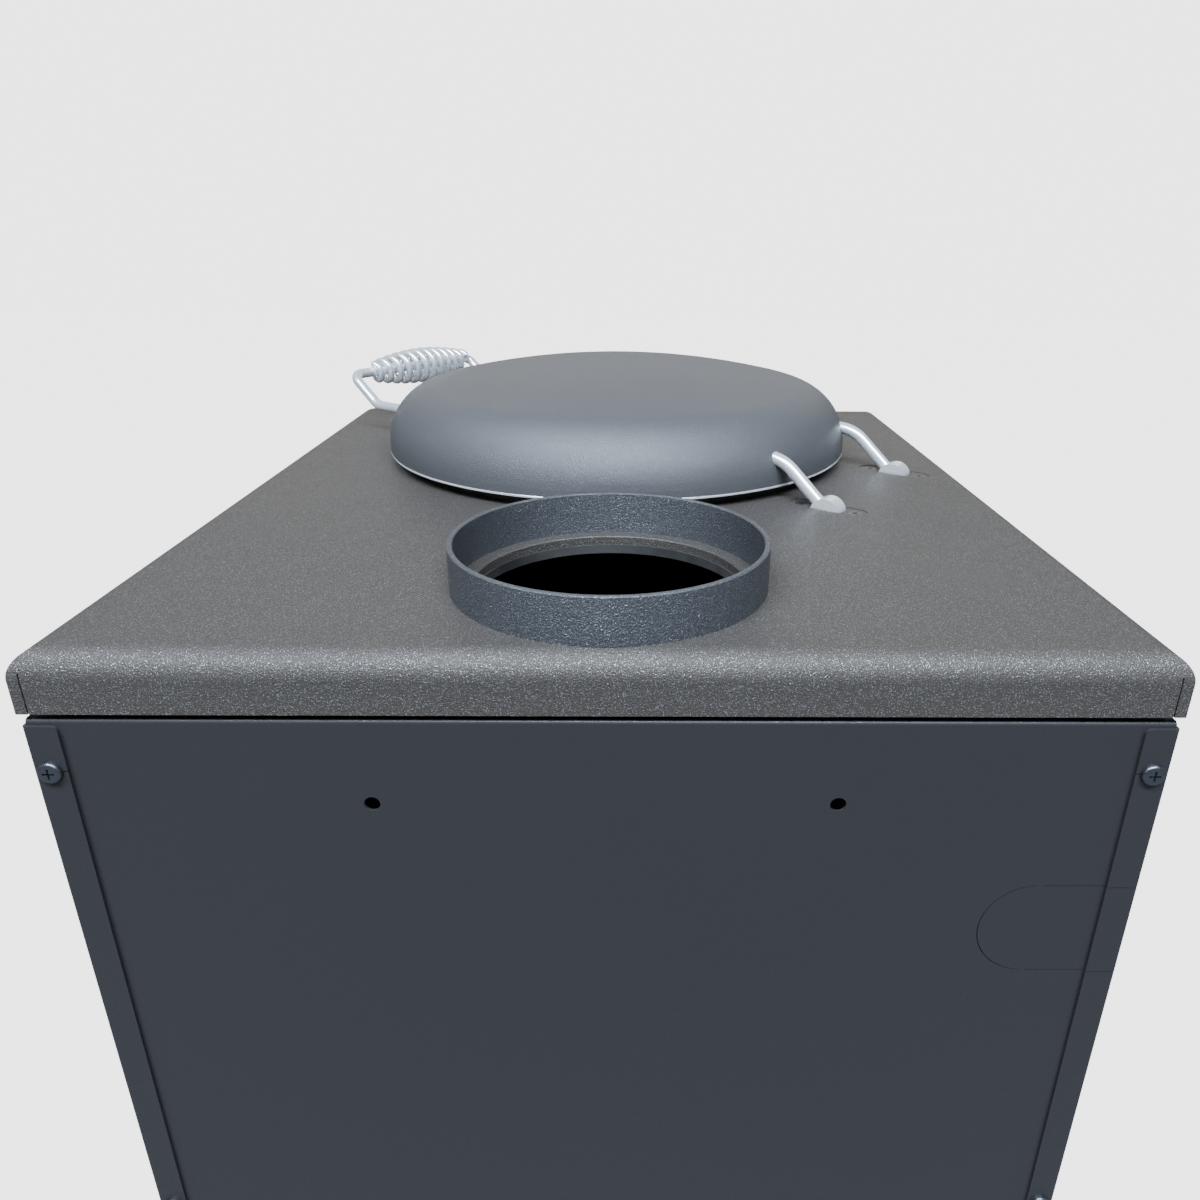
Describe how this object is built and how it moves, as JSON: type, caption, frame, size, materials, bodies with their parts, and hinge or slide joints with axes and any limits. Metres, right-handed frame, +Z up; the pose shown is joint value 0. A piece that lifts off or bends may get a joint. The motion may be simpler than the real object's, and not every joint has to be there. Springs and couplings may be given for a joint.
{
  "type": "chiminea",
  "caption": "Free-standing steel garden stove chiminea with a glazed fire door, ash drawer, flue collar and a hinged round cooking lid over its hotplate.",
  "frame": {"origin": "middle of the overall footprint, on the floor under the plinth", "axes": "+Z up, the fire door faces -Y, the flue and back panel are towards +Y, +X is to the right seen from the front"},
  "size_m": [0.498, 0.6047, 0.791],
  "materials": {
    "hammered_paint": "fine hammered dark grey metallic paint, satin",
    "casing_paint": "smooth dark blue-grey paint, satin",
    "door_paint": "fine textured black stove paint, satin",
    "lid_paint": "fine textured dark grey paint, satin",
    "cast_iron": "dark cast iron, matt",
    "firebox_steel": "black stove paint, matt",
    "fire_brick": "pressed vermiculite, matt",
    "bright_zinc": "bright zinc plate",
    "screw_zinc": "zinc plate",
    "sheet_steel": "rolled sheet steel",
    "knob_black": "black moulded knob",
    "glass_rope": "woven glass fibre rope",
    "ceramic_wool": "soft ceramic wool blanket",
    "door_glass": "heat-proof glass ceramic"
  },
  "bodies": {
    "cabinet": {"top_plate": "hammered_paint", "flue_collar": "hammered_paint", "flue_ring": "firebox_steel", "hotplate": "cast_iron", "hotplate_rope": "glass_rope", "hinge_insert_rear": "hammered_paint", "hinge_insert_front": "hammered_paint", "hinge_block_rear": "firebox_steel", "hinge_block_front": "firebox_steel", "insert_screws": "screw_zinc", "lid_hinge_pins": "bright_zinc", "side_panel_left": "casing_paint", "side_panel_right": "casing_paint", "back_panel": "casing_paint", "casing_screws": "screw_zinc", "rear_heat_shield": "sheet_steel", "floor_plate": "casing_paint", "plinth": "casing_paint", "front_plate": "door_paint", "front_screws": "screw_zinc", "firebox_shell": "firebox_steel", "smoke_box": "firebox_steel", "side_brick_left": "fire_brick", "side_brick_right": "fire_brick", "back_brick": "fire_brick", "hearth_brick": "fire_brick", "baffle_plate": "cast_iron", "grate": "cast_iron", "log_guard": "cast_iron", "air_slide_guides": "sheet_steel", "door_hinge_brackets": "door_paint", "door_hinge_pins": "bright_zinc"},
    "lid": {"lid_shell": "lid_paint", "lid_liner": "sheet_steel", "lid_insulation": "ceramic_wool", "hinge_arm_rear": "bright_zinc", "hinge_arm_front": "bright_zinc", "lid_handle": "bright_zinc", "lid_grip": "bright_zinc"},
    "fire_door": {"door_frame": "door_paint", "door_glass": "door_glass", "glass_tape": "glass_rope", "glass_clips": "sheet_steel", "glass_screws": "screw_zinc", "door_rope": "glass_rope"},
    "door_lever": {"door_handle": "bright_zinc", "door_grip": "bright_zinc", "door_latch": "bright_zinc"},
    "air_control": {"air_slide": "sheet_steel", "air_slide_knob": "knob_black"},
    "ash_tray": {"ash_drawer": "sheet_steel", "ash_drawer_sides": "sheet_steel", "ash_drawer_rear": "sheet_steel", "ash_drawer_front": "door_paint", "ash_drawer_knob": "knob_black"}
  },
  "joints": [
    {"name": "lid_hinge", "type": "hinge", "parent": "cabinet", "child": "lid", "pos_m": [-0.16959, 0.03641, 0.7166], "axis": [-0.5878, -0.809, 0], "range_deg": [0, 95]},
    {"name": "fire_door_hinge", "type": "hinge", "parent": "cabinet", "child": "fire_door", "pos_m": [-0.193, -0.24785, 0.396], "axis": [0, 0, -1], "range_deg": [0, 110]},
    {"name": "door_lever_turn", "type": "hinge", "parent": "fire_door", "child": "door_lever", "pos_m": [0.146, -0.25685, 0.396], "axis": [0, 1, 0], "range_deg": [0, 90]},
    {"name": "air_slide_move", "type": "slide", "parent": "cabinet", "child": "air_control", "axis": [-1, 0, 0], "range_m": [0, 0.026]},
    {"name": "ash_drawer_slide", "type": "slide", "parent": "cabinet", "child": "ash_tray", "axis": [0, -1, 0], "range_m": [0, 0.3]}
  ]
}
